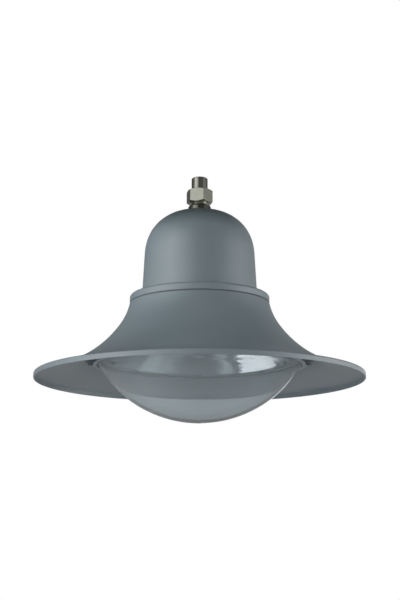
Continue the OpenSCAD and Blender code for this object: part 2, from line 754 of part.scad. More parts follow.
module lampholder() {
    color("ivory") translate([0, 0, holder_face_z]) difference() {
        rotate_extrude() polygon([
            [0, 0], [holder_d / 2 - 5, 0], [holder_d / 2 - 4, 8], [holder_d / 2, 10],
            [holder_d / 2, holder_h], [0, holder_h]
        ]);
        for (s = [-1, 1]) {
            translate([0, s * pin_pitch / 2, -cut]) cylinder(d = pin_d + 2 * thread_gap, h = pin_len + 1 + cut);
            translate([s * holder_hole_x, 0, holder_h / 2])
                cylinder(d = small_screw_d + 2 * thread_gap, h = holder_h / 2 + cut);
            translate([holder_d / 2 - lead_depth, s * lead_spread, holder_lead_z - holder_face_z])
                rotate([0, 90, 0]) cylinder(d = lead_d + 2 * thread_gap, h = lead_depth + cut);
        }
    }
}

module lampholder_screws() {
    color("dimgray") for (s = [-1, 1]) translate([s * holder_hole_x, 0, tray_seat_z]) rotate([180, 0, 0])
        pan_screw(small_screw_d, tray_t + 8);
}

module lamp_base() {
    color("ivory") translate([0, 0, holder_face_z]) {
        difference() {
            translate([0, 0, -lamp_base_h]) cylinder(d = lamp_base_d, h = lamp_base_h);
            translate([0, 0, -lamp_base_h - cut])
                cylinder(d = lamp_tube_d + 2 * thread_gap, h = lamp_socket + cut);
        }
        for (s = [-1, 1]) translate([0, s * pin_pitch / 2, -1]) cylinder(d = pin_d, h = pin_len + 1);
    }
}

// Closed glass tube with a round end, its open end in the base
module lamp_tube() {
    r = lamp_tube_d / 2;
    len = lamp_len - lamp_base_h + lamp_socket;
    color([0.85, 0.9, 0.92, 0.35]) translate([0, 0, lamp_low_z]) difference() {
        union() {
            translate([0, 0, r]) sphere(r = r);
            translate([0, 0, r]) cylinder(r = r, h = len - r);
        }
        translate([0, 0, r]) sphere(r = r - lamp_tube_wall);
        translate([0, 0, r]) cylinder(r = r - lamp_tube_wall, h = len);
    }
}

// Ceramic burner between two stems, on two feed wires out of the base
module arc_tube() {
    stem_h = 12;
    burner_r = 4;
    burner_h = 15;
    wire_r = 0.6;
    side_x = lamp_tube_d / 2 - lamp_tube_wall - 2;
    root_z = holder_face_z - lamp_base_h + lamp_socket;
    low_z = light_z - burner_h / 2 - stem_h;
    color("white") {
        translate([0, 0, light_z]) rotate_extrude() polygon([
            [0, -burner_h / 2 - stem_h], [1.2, -burner_h / 2 - stem_h], [1.2, -burner_h / 2],
            [burner_r, -burner_h / 2 + 3], [burner_r, burner_h / 2 - 3], [1.2, burner_h / 2],
            [1.2, burner_h / 2 + stem_h], [0, burner_h / 2 + stem_h]
        ]);
        translate([0, 0, light_z + burner_h / 2 + stem_h - 2])
            cylinder(r = wire_r, h = root_z - light_z - burner_h / 2 - stem_h + 2);
        translate([side_x, 0, low_z]) cylinder(r = wire_r, h = root_z - low_z);
        translate([0, -wire_r, low_z]) cube([side_x + wire_r, 2 * wire_r, 2 * wire_r]);
    }
}

// Screws that hold the gear: their place on the tray and the height of their seat above it
gear_fixings = [
    [ballast_hole_x, ballast_y, foot_t], [-ballast_hole_x, ballast_y, foot_t],
    [igniter_hole_x, igniter_y, foot_t], [-igniter_hole_x, igniter_y, foot_t],
    [0, saddle_hole_y, saddle_t], [terminal_hole_x, igniter_y, foot_t],
    [grip_x, igniter_y - grip_hole_y, grip_h], [grip_x, igniter_y + grip_hole_y, grip_h]
];

module gear_tray() {
    color("gainsboro") translate([0, 0, tray_under_z]) difference() {
        cylinder(d = tray_d, h = tray_t);
        at_turns(tray_turns, tray_screw_circle / 2) translate([0, 0, -cut])
            cylinder(d = small_screw_d + 2 * hole_gap, h = tray_t + 2 * cut);
        for (s = [-1, 1]) translate([s * holder_hole_x, 0, -cut])
            cylinder(d = small_screw_d + 2 * hole_gap, h = tray_t + 2 * cut);
        for (f = gear_fixings) translate([f.x, f.y, -cut])
            cylinder(d = small_screw_d + 2 * thread_gap, h = tray_t + 2 * cut);
        translate([earth_place.x, earth_place.y, -cut])
            cylinder(d = small_screw_d + 2 * thread_gap, h = tray_t + 2 * cut);
        translate([grommet_place.x, grommet_place.y, -cut])
            cylinder(d = grommet_bore + 2 * grommet_wall, h = tray_t + 2 * cut);
    }
}

module tray_screws() {
    color("dimgray") at_turns(tray_turns, tray_screw_circle / 2) translate([0, 0, tray_under_z])
        pan_screw(small_screw_d, tray_t + 2.5 * small_screw_d);
}

module gear_screws() {
    color("dimgray") for (f = gear_fixings) translate([f.x, f.y, tray_seat_z + f.z])
        rotate([180, 0, 0]) pan_screw(small_screw_d, f.z + tray_t + 2);
}

module earth_screw() {
    color("seagreen") translate([earth_place.x, earth_place.y, tray_seat_z]) rotate([180, 0, 0])
        pan_screw(small_screw_d, tray_t + 6);
}

// Iron core on a foot plate, with the winding standing out at both ends
module ballast() {
    coil_out = 8;
    coil_inset = 7;
    color("dimgray") translate([0, ballast_y, tray_seat_z]) difference() {
        union() {
            translate([-ballast_len / 2, -ballast_w / 2 + 4, 0]) cube([ballast_len, ballast_w - 8, foot_t]);
            translate([-core_len / 2, -ballast_w / 2, foot_t / 2]) cube([core_len, ballast_w, ballast_h - foot_t / 2]);
            translate([-core_len / 2 - coil_out, -ballast_w / 2 + coil_inset, coil_inset])
                cube([core_len + 2 * coil_out, ballast_w - 2 * coil_inset, ballast_h - 2 * coil_inset]);
        }
        for (s = [-1, 1]) {
            translate([s * ballast_hole_x, 0, -cut])
                cylinder(d = small_screw_d + 2 * hole_gap, h = foot_t + 2 * cut);
            // Weld grooves of the core's sheets
            translate([-core_len / 2 - cut, s * (ballast_w / 2 - 1.5), ballast_h / 2 - 1.5])
                cube([core_len + 2 * cut, 3, 3]);
        }
    }
}

// Moulded box with a foot at each end
module igniter() {
    color("whitesmoke") translate([0, igniter_y, tray_seat_z]) difference() {
        union() {
            translate([-igniter_len / 2, -igniter_w / 2, 0]) cube([igniter_len, igniter_w, igniter_h]);
            translate([-igniter_len / 2 - igniter_foot, -igniter_w / 4, 0])
                cube([igniter_len + 2 * igniter_foot, igniter_w / 2, foot_t]);
        }
        for (s = [-1, 1]) translate([s * igniter_hole_x, 0, -cut])
            cylinder(d = small_screw_d + 2 * hole_gap, h = foot_t + 2 * cut);
        // Wells of the three terminals
        for (i = [-1 : 1]) translate([i * igniter_len / 4, 0, igniter_h - 8]) cylinder(d = 6, h = 8 + cut);
    }
}

// Round can that lies on the tray, with a cap and two tags at one end
module capacitor() {
    r = capacitor_d / 2;
    color("gainsboro") translate([-capacitor_len / 2, capacitor_y, tray_seat_z + r]) {
        rotate([0, 90, 0]) rotate_extrude() polygon([
            [0, 0], [r - 1, 0], [r, 1], [r, capacitor_len - 8], [r - 1.5, capacitor_len - 6],
            [r - 1.5, capacitor_len - 1], [r - 2.5, capacitor_len], [0, capacitor_len]
        ]);
        for (s = [-1, 1]) translate([capacitor_len - 1, s * 6 - 0.4, -3]) cube([8, 0.8, 6]);
    }
}

// Sheet clip over the capacitor, with its screwed foot on the outer side
module capacitor_clip() {
    r = capacitor_d / 2 + saddle_gap;
    half = saddle_w / 2;
    color("silver") translate([0, capacitor_y, tray_seat_z]) difference() {
        rotate([90, 0, 90]) linear_extrude(saddle_w, center = true) polygon(concat(
            [[-r - saddle_t, 0]],
            arc([0, capacitor_d / 2], r + saddle_t, 180, 0),
            [[r + saddle_t, saddle_t], [r + saddle_t + saddle_foot, saddle_t], [r + saddle_t + saddle_foot, 0], [r, 0]],
            arc([0, capacitor_d / 2], r, 0, 180),
            [[-r, 0]]
        ));
        translate([0, saddle_hole_y - capacitor_y, -cut])
            cylinder(d = small_screw_d + 2 * hole_gap, h = saddle_t + 2 * cut);
    }
}

// Three-pole block with wire holes through it, screw wells on top and one fixing ear
module terminal_block() {
    body_len = 3 * terminal_pitch;
    color("ivory") translate([terminal_start, igniter_y, tray_seat_z]) difference() {
        union() {
            translate([0, -terminal_w / 2, 0]) cube([body_len, terminal_w, terminal_h]);
            translate([body_len - 1, -terminal_w / 4, 0]) cube([terminal_ear + 1, terminal_w / 2, foot_t]);
        }
        for (i = [0 : 2]) translate([(i + 0.5) * terminal_pitch, 0, 0]) {
            translate([0, terminal_w / 2 + cut, lead_level]) rotate([90, 0, 0])
                cylinder(d = lead_d + 2 * thread_gap, h = terminal_w + 2 * cut);
            translate([0, 0, lead_level]) cylinder(d = 5, h = terminal_h);
        }
        translate([terminal_hole_x - terminal_start, 0, -cut])
            cylinder(d = small_screw_d + 2 * hole_gap, h = foot_t + 2 * cut);
    }
}

// Cord grip that presses the supply cable on the tray
module cable_clamp() {
    color("ivory") translate([grip_x, igniter_y, tray_seat_z]) difference() {
        translate([-grip_w / 2, -grip_span / 2, 0]) cube([grip_w, grip_span, grip_h]);
        translate([-grip_w / 2 - cut, 0, 0]) rotate([0, 90, 0]) cylinder(d = 9, h = grip_w + 2 * cut);
        for (s = [-1, 1]) translate([0, s * grip_hole_y, -cut])
            cylinder(d = small_screw_d + 2 * hole_gap, h = grip_h + 2 * cut);
    }
}

// Rubber ring in the tray's hole, with a lip on both faces
module lead_grommet() {
    bore_r = grommet_bore / 2;
    hub_r = bore_r + grommet_wall;
    lip = 2;
    color("black") translate([grommet_place.x, grommet_place.y, tray_under_z]) rotate_extrude() polygon([
        [bore_r, -lip], [hub_r + lip, -lip], [hub_r + lip, 0], [hub_r, 0],
        [hub_r, tray_t], [hub_r + lip, tray_t], [hub_r + lip, tray_t + lip], [bore_r, tray_t + lip]
    ]);
}

// The two leads from the terminal block through the tray to the lampholder
module lamp_leads() {
    wire_z = tray_seat_z + lead_level;
    face_y = igniter_y + terminal_w / 2;
    color("firebrick") for (i = [0, 1]) {
        s = 2 * i - 1;
        pole_x = terminal_start + (i + 0.5) * terminal_pitch;
        gx = grommet_place.x + s * lead_pitch / 2;
        gy = grommet_place.y;
        wire([
            [pole_x, face_y - lead_depth, wire_z], [pole_x, face_y + 2, wire_z],
            [(pole_x + gx) / 2, gy - 2.5, wire_z - 0.5], [gx, gy, wire_z - 3],
            [gx, gy, tray_seat_z], [gx, gy, tray_under_z - 3],
            [gx - 1, gy - 3, tray_under_z - 7], [gx - 7 + s, gy - 12 - s, holder_lead_z + 1],
            [gx - 16, gy / 3 - s * lead_spread, holder_lead_z],
            [holder_d / 2 + 4, -s * lead_spread, holder_lead_z],
            [holder_d / 2 - lead_depth, -s * lead_spread, holder_lead_z]
        ], lead_d);
    }
}

suspension_pipe();
suspension_nut();
pipe_flange();
lock_washer();
lock_nut();
upper_housing();
joint_gasket();
skirt();
hanger_straps();
joint_bolts();
joint_washers();
mounting_ring();
strap_screws();
strap_nuts();
reflector();
reflector_screws();
bowl_gasket();
bowl();
clamp_ring();
clamp_screws();
clamp_nuts();
lampholder();
lampholder_screws();
lamp_base();
lamp_tube();
arc_tube();
gear_tray();
tray_screws();
ballast();
igniter();
capacitor();
capacitor_clip();
terminal_block();
cable_clamp();
earth_screw();
gear_screws();
lead_grommet();
lamp_leads();
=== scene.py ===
"""Looks for the pendant park light: materials, fine detail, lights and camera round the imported
CAD part. All measures are in metres."""

import json
import math

import bmesh
import bpy
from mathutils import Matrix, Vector


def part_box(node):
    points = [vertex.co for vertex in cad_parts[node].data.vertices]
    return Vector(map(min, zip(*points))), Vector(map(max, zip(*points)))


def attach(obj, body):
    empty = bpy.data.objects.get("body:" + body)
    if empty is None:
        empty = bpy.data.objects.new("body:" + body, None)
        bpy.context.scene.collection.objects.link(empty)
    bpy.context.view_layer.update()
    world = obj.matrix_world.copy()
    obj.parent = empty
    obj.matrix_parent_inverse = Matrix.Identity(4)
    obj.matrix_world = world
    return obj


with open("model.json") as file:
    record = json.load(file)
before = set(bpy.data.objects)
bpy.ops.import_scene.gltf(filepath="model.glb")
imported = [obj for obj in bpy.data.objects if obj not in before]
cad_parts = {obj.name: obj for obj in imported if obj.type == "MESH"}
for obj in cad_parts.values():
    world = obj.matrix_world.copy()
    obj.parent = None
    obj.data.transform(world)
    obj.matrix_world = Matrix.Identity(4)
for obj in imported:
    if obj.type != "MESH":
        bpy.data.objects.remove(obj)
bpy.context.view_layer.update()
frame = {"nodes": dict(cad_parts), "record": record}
MM = 0.001
WHITE = (1.0, 1.0, 1.0, 1.0)


# ---------------------------------------------------------------- node tools
# The sockets of Blender's Mix node when it mixes colours.
MIX_FACTOR, MIX_A, MIX_B, MIX_RESULT = 0, 6, 7, 2


class Shader:
    """A material under construction: short calls for the nodes that the materials below share."""

    def __init__(self, name):
        self.material = bpy.data.materials.new(name)
        self.material.use_nodes = True
        self.tree = self.material.node_tree
        self.tree.nodes.clear()
        self.out = self.tree.nodes.new("ShaderNodeOutputMaterial")
        self.bsdf = self.tree.nodes.new("ShaderNodeBsdfPrincipled")
        self.surface(self.bsdf.outputs[0])
        self.place = self.tree.nodes.new("ShaderNodeTexCoord").outputs["Object"]

    def set(self, **values):
        """Constant values, straight on the shader's own sockets."""
        for key, value in values.items():
            self.bsdf.inputs[key.replace("_", " ")].default_value = value
        return self

    def link(self, source, socket):
        """Leads a node's output to one of the shader's own sockets."""
        self.tree.links.new(source, self.bsdf.inputs[socket])

    def surface(self, source):
        """Makes a shader's output the surface of the material."""
        self.tree.links.new(source, self.out.inputs["Surface"])

    def node(self, kind, inputs=None, **settings):
        """A node with its settings, and with links or constant values on its inputs."""
        made = self.tree.nodes.new(kind)
        for key, value in settings.items():
            setattr(made, key, value)
        for key, value in (inputs or {}).items():
            if isinstance(value, bpy.types.NodeSocket):
                self.tree.links.new(value, made.inputs[key])
            else:
                made.inputs[key].default_value = value
        return made

    def stretched(self, scale):
        """The object's coordinates, stretched by a scale for each axis."""
        return self.node("ShaderNodeMapping", {"Vector": self.place, "Scale": scale}).outputs[0]

    def noise(self, scale, detail=2.0, roughness=0.5, at=None):
        """Noise with so many cells a metre, from 0 to 1."""
        return self.node("ShaderNodeTexNoise", {
            "Vector": at or self.place, "Scale": scale, "Detail": detail, "Roughness": roughness,
        }).outputs["Fac"]

    def rings(self, per_metre, detail, roughness=0.5):
        """Noise in rings round the lamp's axis, with so many cells a metre of radius."""
        flat = self.node(
            "ShaderNodeVectorMath", {0: self.place, 1: (1.0, 1.0, 0.0)}, operation="MULTIPLY")
        radius = self.node("ShaderNodeVectorMath", {0: flat.outputs[0]}, operation="LENGTH")
        along = self.math("MULTIPLY", radius.outputs["Value"], per_metre)
        line = self.node("ShaderNodeCombineXYZ", {"X": along}).outputs[0]
        return self.noise(1.0, detail, roughness, line)

    def math(self, operation, a, b):
        """One step of arithmetic."""
        return self.node("ShaderNodeMath", {0: a, 1: b}, operation=operation).outputs[0]

    def span(self, value, low, high, start=0.3, end=0.7):
        """Maps a value from start..end to low..high."""
        return self.node("ShaderNodeMapRange", {
            "Value": value, "From Min": start, "From Max": end, "To Min": low, "To Max": high,
        }).outputs[0]

    def blend(self, fac, a, b):
        """A colour between a and b."""
        inputs = {MIX_FACTOR: fac, MIX_A: a, MIX_B: b}
        return self.node("ShaderNodeMix", inputs, data_type="RGBA").outputs[MIX_RESULT]

    def mean(self, a, b, start, end):
        """The mean of two noises, mapped from start..end to 0..1."""
        return self.span(self.math("MULTIPLY", self.math("ADD", a, b), 0.5), 0.0, 1.0, start, end)

    def height(self, low, high):
        """0 at or below one height on the lamp's axis, 1 at or above the other."""
        parts = self.node("ShaderNodeSeparateXYZ", {"Vector": self.place})
        return self.span(parts.outputs["Z"], 0.0, 1.0, low, high)

    def bump(self, height, depth, strength=1.0):
        """Relief of a real depth."""
        self.link(self.node("ShaderNodeBump", {
            "Height": height, "Distance": depth, "Strength": strength,
        }).outputs[0], "Normal")


def mixed(tree, fac, a, b):
    """The output of a mix of two shaders."""
    made = tree.nodes.new("ShaderNodeMixShader")
    for index, source in enumerate((fac, a, b)):
        tree.links.new(source, made.inputs[index])
    return made.outputs[0]


def rgb(r, g, b):
    """A colour written as 0 to 255 in sRGB, as linear values."""
    parts = (r / 255, g / 255, b / 255)
    linear = [c / 12.92 if c <= 0.04045 else ((c + 0.055) / 1.055) ** 2.4 for c in parts]
    return (*linear, 1.0)


# ---------------------------------------------------------------- materials
PAINT = rgb(106, 119, 125)
PAINT_LIGHT = rgb(111, 124, 130)
# The crown's darker colour is painted shade, for the light that doesn't reach the top of the dome.
PAINT_SHADED_CROWN = rgb(44, 56, 58)
# Heights on the crown between which the paint goes over to a darker colour: painted shade, where
# little light falls on the top of the dome.
CROWN_SHADE_LOW, CROWN_SHADE_HIGH = -0.078, -0.036
PEEL_DEPTH = 6e-5
# Traces of the roller on the spun skirt, for a metre of radius.
ROLLER_TRACES = 180.0
# The height over which a metal goes over to its darker colour below: partly dirt, partly painted
# shade under the nut.
DIRT_AND_SHADE_EDGE = 1.0 * MM
# Waves of the reflector's sheet: cells a metre, depth, and the share of the fine rings in it.
SHEET_WAVES = (16.0, 16.0, 60.0)
WAVE_DEPTH = 2.4 * MM
RING_SHARE = 0.003


def powder_paint(name, spun=False):
    """Satin powder coat: a fine orange peel, faint mottling, and on a spun piece the traces of
    the roller. The crown round the pipe is painted darker towards the top, as painted shade where
    little light falls from above."""
    s = Shader(name)
    mottle = s.noise(9.0, 3.0)
    grain = s.noise(420.0, 2.0, 0.6)
    cloud = s.span(s.math("ADD", mottle, s.math("MULTIPLY", grain, 0.25)), 0.0, 1.0, 0.42, 0.82)
    clean = s.blend(cloud, PAINT, PAINT_LIGHT)
    # Painted shade: towards the top, the crown round the pipe goes over to a darker colour.
    s.link(s.blend(s.height(CROWN_SHADE_LOW, CROWN_SHADE_HIGH), clean, PAINT_SHADED_CROWN), "Base Color")
    s.link(s.span(grain, 0.4, 0.48), "Roughness")
    relief = s.noise(700.0, 1.0, 0.5)
    if spun:
        traces = s.rings(ROLLER_TRACES, 1.0)
        relief = s.math("ADD", relief, s.math("MULTIPLY", traces, 0.8))
    s.bump(relief, PEEL_DEPTH, 0.7)
    return s.set(Specular_IOR_Level=1.0, Coat_Weight=1.0, Coat_Roughness=0.42, Coat_IOR=1.5)


def drawn_metal(name, colour, dark, rough, stretch, depth=2e-5, dirt_and_shade=None):
    """Plated metal: streaks along a direction set by the stretch, cloudy tarnish and fine relief.
    Below a height it may have a darker colour: partly dirt where rain gathers, partly painted
    shade under the nut."""
    s = Shader(name)
    streak = s.noise(1.0, 3.0, 0.6, s.stretched(stretch))
    cloud = s.noise(120.0, 3.0, 0.6)
    tone = s.blend(s.mean(streak, cloud, 0.35, 0.65), dark, colour)
    # Partly painted shade: below the height the metal is darker, for dirt and for the shade under
    # the nut.
    if dirt_and_shade:
        top, dirt_and_shade_colour = dirt_and_shade
        tone = s.blend(s.height(top - DIRT_AND_SHADE_EDGE, top), dirt_and_shade_colour, tone)
    s.link(tone, "Base Color")
    s.link(s.span(streak, rough * 0.75, rough * 1.35), "Roughness")
    s.bump(streak, depth)
    return s.set(Metallic=1.0)


def spun_metal(name, colour, dark, rough, pitch):
    """Spun sheet: fine rings round the axis, and the slight waves of thin metal."""
    s = Shader(name)
    ring = s.rings(1.0 / pitch, 2.0, 0.6)
    cloud = s.noise(60.0, 3.0)
    s.link(s.blend(s.mean(ring, cloud, 0.35, 0.65), dark, colour), "Base Color")
    s.link(s.span(ring, rough * 0.8, rough * 1.25), "Roughness")
    wave = s.noise(1.0, 2.0, 0.6, s.stretched(SHEET_WAVES))
    s.bump(s.math("ADD", wave, s.math("MULTIPLY", ring, RING_SHARE)), WAVE_DEPTH)
    return s.set(Metallic=1.0)


def speckled(name, colour, other, rough, scale, depth, metallic=0.0, coat=0.0):
    """Cast, moulded, plated or sintered stuff: fine speckle with matching relief."""
    s = Shader(name)
    fine = s.noise(scale, 3.0, 0.6)
    broad = s.noise(scale / 12.0, 2.0)
    s.link(s.blend(s.mean(fine, broad, 0.38, 0.62), colour, other), "Base Color")
    s.link(s.span(fine, rough * 0.88, min(1.0, rough * 1.15)), "Roughness")
    s.bump(fine, depth)
    return s.set(Metallic=metallic, Coat_Weight=coat)


def clear_glass(name, colour, clear, ior, haze):
    """Clear or smoked wall, by its share that is clear, with a faint haze of dust and age. Shadow
    rays pass, so that the lamps reach what lies behind."""
    s = Shader(name)
    dust = s.noise(55.0, 4.0, 0.65)
    s.link(s.span(dust, 0.0, haze, 0.5, 0.85), "Roughness")
    s.set(Transmission_Weight=clear, IOR=ior, Base_Color=colour)
    open_way = s.node("ShaderNodeBsdfTransparent", {"Color": WHITE}).outputs[0]
    in_shadow = s.node("ShaderNodeLightPath").outputs["Is Shadow Ray"]
    s.surface(mixed(s.tree, in_shadow, s.bsdf.outputs[0], open_way))
    return s


# For each material slot of the part, the kind of material and its values.
LOOKS = {
    "pipe_metal": (drawn_metal, dict(
        colour=rgb(174, 174, 164), dark=rgb(156, 156, 146), rough=0.15,
        # Darker below this height: partly dirt, partly painted shade under the nut.
        stretch=(700.0, 700.0, 20.0), depth=1.2e-5, dirt_and_shade=(-0.025, rgb(122, 122, 112)))),
    "nut_metal": (drawn_metal, dict(
        colour=rgb(190, 192, 180), dark=rgb(182, 184, 171), rough=0.22,
        stretch=(60.0, 60.0, 900.0), depth=8e-6)),
    "zinc": (speckled, dict(
        colour=rgb(178, 182, 186), other=rgb(150, 154, 158), rough=0.38,
        scale=500.0, depth=2e-5, metallic=0.6)),
    "housing_paint": (powder_paint, dict()),
    "skirt_paint": (powder_paint, dict(spun=True)),
    "gasket_rubber": (speckled, dict(
        colour=rgb(80, 84, 86), other=rgb(92, 96, 98), rough=0.75, scale=700.0, depth=5e-5)),
    "ring_metal": (speckled, dict(
        colour=rgb(140, 150, 154), other=rgb(148, 158, 162), rough=0.45,
        scale=500.0, depth=3e-5)),
    "dark_steel": (speckled, dict(
        colour=rgb(122, 129, 131), other=rgb(104, 110, 112), rough=0.5,
        scale=700.0, depth=2e-5, metallic=0.5)),
    "reflector_metal": (spun_metal, dict(
        colour=rgb(226, 229, 231), dark=rgb(214, 218, 221), rough=0.07, pitch=4.0 * MM)),
    "bowl_clear": (clear_glass, dict(
        colour=(0.56, 0.61, 0.63, 1.0), clear=0.775, ior=1.2, haze=0.05)),
    "porcelain": (speckled, dict(
        colour=rgb(228, 225, 215), other=rgb(218, 214, 203), rough=0.35,
        scale=260.0, depth=2e-5, coat=0.3)),
    "lamp_glass": (clear_glass, dict(
        colour=(0.95, 0.97, 0.97, 1.0), clear=1.0, ior=1.46, haze=0.02)),
    "burner_ceramic": (speckled, dict(
        colour=rgb(236, 233, 224), other=rgb(222, 218, 206), rough=0.5, scale=800.0, depth=2e-5)),
    "tray_metal": (speckled, dict(
        colour=rgb(186, 190, 193), other=rgb(148, 153, 158), rough=0.36,
        scale=90.0, depth=2e-5, metallic=1.0)),
    "ballast_iron": (speckled, dict(
        colour=rgb(42, 42, 44), other=rgb(56, 56, 58), rough=0.4,
        scale=350.0, depth=8e-5, coat=0.4)),
    "white_plastic": (speckled, dict(
        colour=rgb(226, 225, 217), other=rgb(219, 217, 208), rough=0.42,
        scale=600.0, depth=2e-5)),
    "can_metal": (drawn_metal, dict(
        colour=rgb(208, 211, 213), dark=rgb(180, 184, 188), rough=0.28,
        stretch=(40.0, 900.0, 900.0))),
    "dark_plastic": (speckled, dict(
        colour=rgb(44, 44, 45), other=rgb(52, 52, 54), rough=0.5, scale=500.0, depth=3e-5)),
    "brass_metal": (drawn_metal, dict(
        colour=rgb(216, 184, 108), dark=rgb(176, 144, 76), rough=0.28,
        stretch=(600.0, 600.0, 600.0))),
    "lead_silicone": (speckled, dict(
        colour=rgb(166, 48, 36), other=rgb(150, 42, 32), rough=0.55, scale=500.0, depth=2e-5)),
}
MATERIALS = {slot: make(slot, **look).material for slot, (make, look) in LOOKS.items()}

for row in frame["record"]["subparts"]:
    for place in frame["nodes"][row["node"]].material_slots:
        place.material = MATERIALS[row["material_slot"]]


# ---------------------------------------------------------------- fine detail
# The thread's ridge: its pitch, its radii at the foot, the crest and inside the pipe's wall, its
# least height, and half its width at foot and crest.
PITCH = 1.814 * MM
ROOT_R = 12.55 * MM
CREST_R = 13.2 * MM
SUNK_R = ROOT_R - 0.3 * MM
LEAST_RIDGE = 0.04 * MM
FOOT_HALF = 0.42 * PITCH
CREST_HALF = 0.08 * PITCH
# Sections in one turn, and those over which the ridge fades in and out.
STEPS = 48
FADE_STEPS = STEPS / 3.0


def keep(piece, slot):
    """A finished piece of its own: it rides on the lamp's one body and takes a slot's finish."""
    for face in piece.data.polygons:
        face.use_smooth = True
    piece.data.materials.append(MATERIALS[slot])
    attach(piece, "root")


def thread(name, top, low):
    """The pipe's thread: one closed helical ridge round it, faded out at both ends."""
    count = round((top - low - PITCH) / PITCH * STEPS)
    mesh = bmesh.new()
    sections = []
    for i in range(count + 1):
        along = i / STEPS
        angle = 2.0 * math.pi * along
        z = low + PITCH / 2.0 + along * PITCH
        fade = min(1.0, i / FADE_STEPS, (count - i) / FADE_STEPS)
        crest = ROOT_R + max(LEAST_RIDGE, (CREST_R - ROOT_R) * fade)
        outline = (
            (SUNK_R, -FOOT_HALF), (ROOT_R, -FOOT_HALF), (crest, -CREST_HALF),
            (crest, CREST_HALF), (ROOT_R, FOOT_HALF), (SUNK_R, FOOT_HALF),
        )
        sections.append([
            mesh.verts.new((r * math.cos(angle), r * math.sin(angle), z + dz)) for r, dz in outline
        ])
    for a, b in zip(sections, sections[1:]):
        for k in range(len(a)):
            n = (k + 1) % len(a)
            mesh.faces.new((a[k], b[k], b[n], a[n]))
    mesh.faces.new(sections[0])
    mesh.faces.new(sections[-1][::-1])
    bmesh.ops.recalc_face_normals(mesh, faces=mesh.faces)
    data = bpy.data.meshes.new(name)
    mesh.to_mesh(data)
    mesh.free()
    piece = bpy.data.objects.new(name, data)
    bpy.context.collection.objects.link(piece)
    keep(piece, "pipe_metal")


# The pipe's thread shows between the nut and the flange, and on its end under the lock nut.
nut_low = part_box("suspension_nut")[0].z
flange_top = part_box("pipe_flange")[1].z
pipe_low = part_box("suspension_pipe")[0].z
lock_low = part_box("lock_nut")[0].z
thread("neck_thread", nut_low + 0.9 * MM, flange_top - 0.9 * MM)
thread("end_thread", lock_low - 0.1 * MM, pipe_low + 1.0 * MM)


# ---------------------------------------------------------------- stage
FLOOR_HALF = 7.0
FLOOR_Z = -3.2
FLOOR_GLOW = 0.8
WORLD_COLOUR = (0.93, 0.97, 1.0, 1.0)
WORLD_LEVEL = 0.25


def seen_rays(tree):
    """1 for camera, glossy and transmission rays, so that metal and glass show the background
    that the camera sees."""
    path = tree.nodes.new("ShaderNodeLightPath")
    total = path.outputs["Is Camera Ray"]
    for kind in ("Is Glossy Ray", "Is Transmission Ray"):
        add = tree.nodes.new("ShaderNodeMath")
        add.operation = "ADD"
        add.use_clamp = True
        tree.links.new(total, add.inputs[0])
        tree.links.new(path.outputs[kind], add.inputs[1])
        total = add.outputs[0]
    return total


def stage_mesh(name, verts, faces, material):
    """A piece of the studio, which isn't part of the lamp."""
    data = bpy.data.meshes.new(name)
    data.from_pydata(verts, [], faces)
    data.materials.append(material)
    piece = bpy.data.objects.new(name, data)
    bpy.context.collection.objects.link(piece)
    return piece


def background(tree, colour, level):
    """The output of a plain world shader."""
    made = tree.nodes.new("ShaderNodeBackground")
    made.inputs["Color"].default_value = colour
    made.inputs["Strength"].default_value = level
    return made.outputs[0]


# A plain pale floor far below, as under a hung lamp. It fades into the white of the background.
floor = Shader("floor_paint")
floor.set(Base_Color=rgb(226, 227, 228), Roughness=0.9)
bare = floor.bsdf.outputs[0]
glow = floor.node("ShaderNodeEmission", {"Color": WHITE, "Strength": 1.0}).outputs[0]
lit = floor.node("ShaderNodeMixShader", {0: FLOOR_GLOW, 1: bare, 2: glow}).outputs[0]
floor.surface(mixed(floor.tree, seen_rays(floor.tree), bare, lit))
corners = ((-1, -1), (1, -1), (1, 1), (-1, 1))
verts = [(x * FLOOR_HALF, y * FLOOR_HALF, FLOOR_Z) for x, y in corners]
stage_mesh("floor", verts, [(0, 1, 2, 3)], floor.material)

# A weak cool world lights the lamp, and the camera sees white.
world = bpy.data.worlds.new("studio")
bpy.context.scene.world = world
world.use_nodes = True
tree = world.node_tree
tree.nodes.clear()
soft = background(tree, WORLD_COLOUR, WORLD_LEVEL)
white = background(tree, WHITE, 1.0)
world_out = tree.nodes.new("ShaderNodeOutputWorld")
tree.links.new(mixed(tree, seen_rays(tree), soft, white), world_out.inputs["Surface"])


# ---------------------------------------------------------------- cards and lamps
CENTRE = Vector((0.0, 0.0, -0.2))
CARD_RADIUS = 4.5
LOW_RADIUS = 2.9
CARD_STEP = 8.0
CEILING = 42.0
PLAIN = (1.0, 1.0, 1.0)
WARM = (1.1, 0.99, 0.96)
# Light that has passed the bowl's wall in and out has been through more faces than this.
FACES_PASSED = 3.0
LAMP_DISTANCE = 3.0


def at(azimuth, elevation, distance):
    """A place round the lamp. Azimuth 0 is the camera's side, and grows to the right."""
    a, e = math.radians(azimuth), math.radians(elevation)
    way = Vector((math.sin(a) * math.cos(e), -math.cos(a) * math.cos(e), math.sin(e)))
    return CENTRE + distance * way


